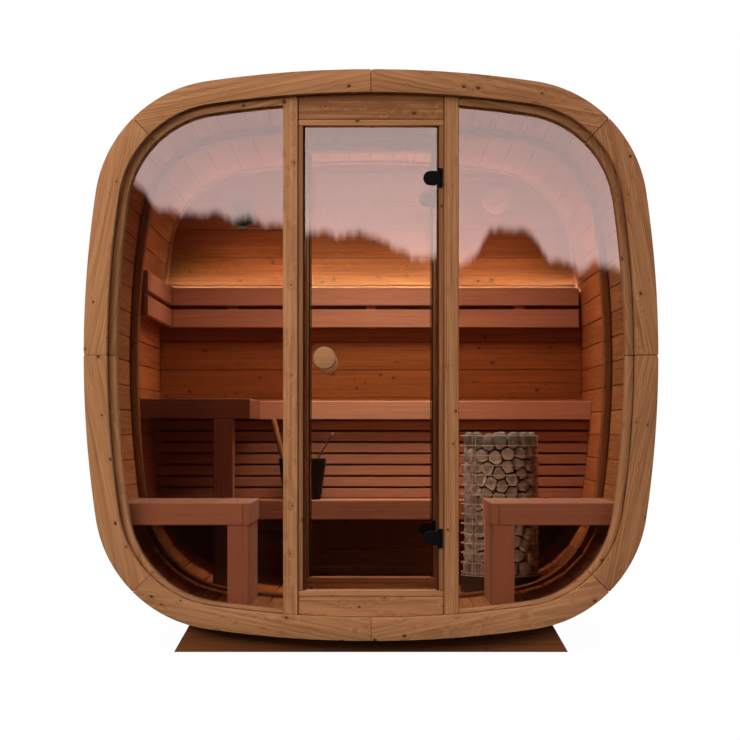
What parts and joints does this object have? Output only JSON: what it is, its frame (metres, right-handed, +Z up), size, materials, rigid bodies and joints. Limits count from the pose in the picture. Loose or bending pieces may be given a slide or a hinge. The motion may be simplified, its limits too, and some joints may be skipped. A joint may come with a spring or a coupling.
{
  "type": "sauna cabin",
  "caption": "Rounded-square stave sauna cabin with a glazed front, a changing room, glass doors, benches and a stone heater.",
  "frame": {"origin": "middle of the cabin's box at ground level", "axes": "+Z up; the glazed front faces -Y, with +X to the right of someone facing it"},
  "size_m": [2.048, 2.07, 2.088],
  "materials": {
    "outer_wood": "oiled thermally treated softwood, satin",
    "stave_wood": "oiled thermally treated softwood staves, satin",
    "inner_wood": "thermally treated softwood, matt",
    "bench_wood": "thermally treated hardwood, matt",
    "bronze_glass": "clear toughened glass with a light bronze tint, polished",
    "black_metal": "black powder coat, matt",
    "knob_wood": "turned pale wood, satin",
    "warm_light": "lit diffuser, warm",
    "cage_wire": "drawn steel wire",
    "heater_stone": "rough rounded stones",
    "bucket_shell": "dark stained pail, matt",
    "porthole": "dark glazed porthole"
  },
  "bodies": {
    "cabin": {"front_trim_ring": "outer_wood", "rear_trim_ring": "outer_wood", "roof_shell": "stave_wood", "floor_shell": "stave_wood", "left_wall_shell": "stave_wood", "right_wall_shell": "stave_wood", "upper_left_corner_shell": "stave_wood", "upper_right_corner_shell": "stave_wood", "lower_left_corner_shell": "stave_wood", "lower_right_corner_shell": "stave_wood", "back_wall": "stave_wood", "front_cradle": "outer_wood", "rear_cradle": "outer_wood", "front_frame_ring": "outer_wood", "front_posts": "outer_wood", "front_header_panel": "outer_wood", "front_sill_panel": "outer_wood", "front_door_frame": "outer_wood", "front_side_panes": "bronze_glass", "front_hinge_plates": "black_metal", "partition_frame_ring": "inner_wood", "partition_posts": "inner_wood", "partition_header_panel": "inner_wood", "partition_sill_panel": "inner_wood", "partition_door_frame": "inner_wood", "partition_side_panes": "bronze_glass", "partition_hinge_plates": "black_metal", "left_low_seat": "bench_wood", "left_low_bench_frame": "bench_wood", "right_low_seat": "bench_wood", "right_low_bench_frame": "bench_wood", "upper_back_seat": "bench_wood", "upper_left_seat": "bench_wood", "upper_bench_rails": "bench_wood", "upper_bench_post": "bench_wood", "step_bench": "bench_wood", "bench_skirt": "bench_wood", "back_backrest": "bench_wood", "left_backrest": "bench_wood", "backrest_brackets": "bench_wood", "light_strip": "warm_light", "heater_base": "black_metal", "heater_cage": "cage_wire", "heater_stones": "heater_stone", "bucket": "bucket_shell", "bucket_handle": "knob_wood", "ladle": "cage_wire", "porthole_vent": "porthole", "vent_cover": "knob_wood"},
    "front_door": {"front_door_glass": "bronze_glass", "front_door_clamps": "black_metal", "front_door_knobs": "knob_wood"},
    "partition_door": {"partition_door_glass": "bronze_glass", "partition_door_clamps": "black_metal", "partition_door_knobs": "knob_wood"}
  },
  "joints": [
    {"name": "front_door_swing", "type": "hinge", "parent": "cabin", "child": "front_door", "pos_m": [0.244, -0.986, 1], "axis": [0, 0, 1], "range_deg": [0, 110]},
    {"name": "partition_door_swing", "type": "hinge", "parent": "cabin", "child": "partition_door", "pos_m": [0.244, -0.276, 1], "axis": [0, 0, 1], "range_deg": [0, 110]}
  ]
}
